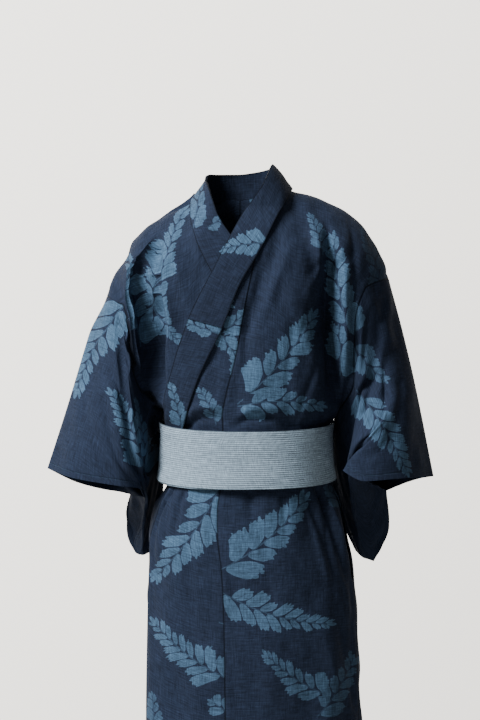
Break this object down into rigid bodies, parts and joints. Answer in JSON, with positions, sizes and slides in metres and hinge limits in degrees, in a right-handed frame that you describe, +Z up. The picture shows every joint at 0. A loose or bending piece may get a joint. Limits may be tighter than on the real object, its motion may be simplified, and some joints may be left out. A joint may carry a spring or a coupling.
{
  "type": "yukata robe with obi",
  "caption": "Ankle-length cotton robe with wide open-cuffed sleeves and a wrapped front, in the hollow form it takes when worn, tied at the waist by a flat woven belt.",
  "frame": {"origin": "the point between the shoulders at the base of the neck, inside the collar, where the wearer carries the robe", "axes": "+Z up, +X to the wearer's left, -Y to the front"},
  "size_m": [0.6627, 0.2679, 1.4026],
  "materials": {
    "navy_cotton": "matt dyed cotton with a woven slub",
    "collar_cotton": "matt dyed cotton, doubled",
    "obi_weave": "matt ribbed weave"
  },
  "bodies": {
    "root": {"front_left": "navy_cotton", "front_right": "navy_cotton", "back_left": "navy_cotton", "back_right": "navy_cotton", "overlap_left": "navy_cotton", "overlap_right": "navy_cotton", "sleeve_left": "navy_cotton", "sleeve_right": "navy_cotton", "collar": "collar_cotton", "collar_cover": "collar_cotton", "obi_inner_wrap": "obi_weave", "obi_outer_wrap": "obi_weave", "obi_knot": "obi_weave", "obi_tare": "obi_weave", "obi_te": "obi_weave"}
  },
  "joints": []
}
